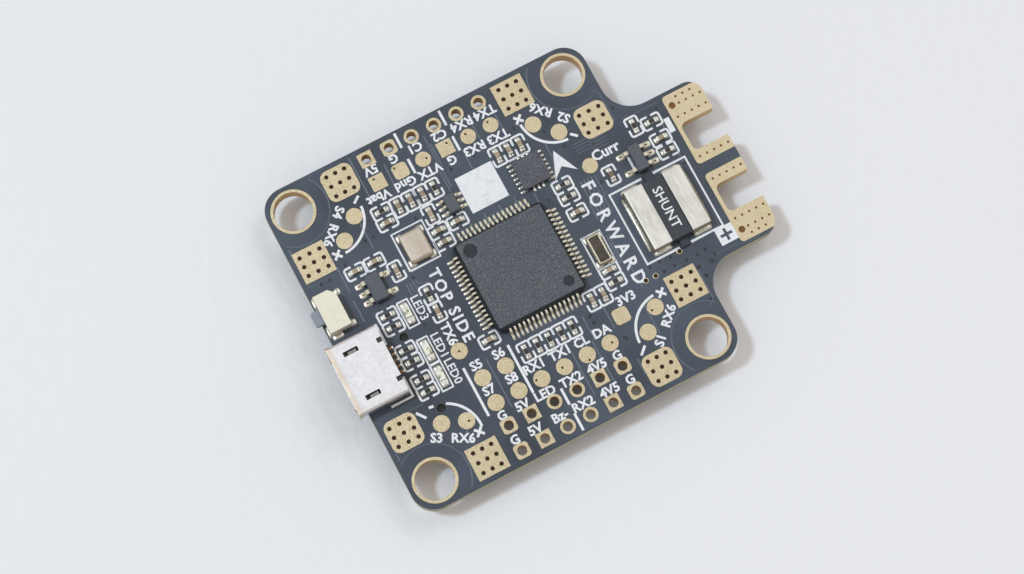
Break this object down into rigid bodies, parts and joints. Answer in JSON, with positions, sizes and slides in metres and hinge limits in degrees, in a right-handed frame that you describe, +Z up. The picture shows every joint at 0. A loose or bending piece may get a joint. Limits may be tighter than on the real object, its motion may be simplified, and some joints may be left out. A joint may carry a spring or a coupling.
{
  "type": "flight controller board",
  "caption": "Square flight controller circuit board with a battery tab, corner grommet holes, processor, micro-USB socket, side-pressed boot button, current shunt and solder pads.",
  "frame": {"origin": "middle of the mounting-hole square, on the underside face of the laminate", "axes": "+X toward the battery tab, +Y the flight direction that the arrow shows, +Z up from the component side"},
  "size_m": [0.046, 0.036, 0.0065],
  "materials": {
    "laminate": "satin solder mask over glass laminate",
    "gold_plate": "thin gold over nickel and copper, satin",
    "tin": "tinned, bright",
    "steel": "nickel-plated steel, satin",
    "moulded_epoxy": "matt moulded epoxy",
    "black_plastic": "matt",
    "cream_plastic": "matt",
    "grey_plastic": "satin",
    "white_ceramic": "matt",
    "tan_ceramic": "matt",
    "lid_metal": "satin",
    "copper_alloy": "brushed, tinned",
    "lens": "clear resin over phosphor",
    "ferrite": "matt pressed powder"
  },
  "bodies": {
    "board": {"plated_wire_holes": "gold_plate", "plated_mounting_holes": "gold_plate", "printed_circuit_board": "laminate", "motor_power_pads": "gold_plate", "signal_pads": "gold_plate", "battery_plus_pad": "gold_plate", "battery_minus_pad": "gold_plate", "processor_body": "moulded_epoxy", "processor_leads": "tin", "motion_sensor_body": "moulded_epoxy", "motion_sensor_terminals": "tin", "crystal_bases": "tan_ceramic", "crystal_lids": "lid_metal", "clock_crystal_base": "tan_ceramic", "clock_crystal_lid": "steel", "regulator_body": "black_plastic", "regulator_leads": "tin", "video_switch_body": "black_plastic", "video_switch_leads": "tin", "current_amplifier_body": "black_plastic", "current_amplifier_leads": "tin", "shunt_element": "black_plastic", "shunt_terminals": "copper_alloy", "usb_shell": "steel", "usb_insulator": "black_plastic", "usb_contacts": "gold_plate", "boot_button_housing": "cream_plastic", "boot_button_dome": "steel", "boot_button_terminals": "tin", "led_bases": "white_ceramic", "led_lenses": "lens", "capacitor_bodies": "tan_ceramic", "capacitor_terminals": "tin", "resistor_bodies": "white_ceramic", "resistor_films": "black_plastic", "resistor_terminals": "tin", "bulk_capacitor_bodies": "tan_ceramic", "bulk_capacitor_terminals": "tin", "card_socket_shell": "steel", "card_socket_base": "black_plastic", "card_socket_contacts": "gold_plate", "video_overlay_body": "black_plastic", "video_overlay_leads": "tin", "buck_converter_body": "black_plastic", "buck_converter_leads": "tin", "inductor_core": "ferrite", "inductor_terminals": "tin"},
    "button": {"boot_button_plunger": "grey_plastic"}
  },
  "joints": [
    {"name": "boot_button_press", "type": "slide", "parent": "board", "child": "button", "axis": [1, 0, 0], "range_m": [0, 0.0002], "stiffness_N_per_m": 400}
  ]
}
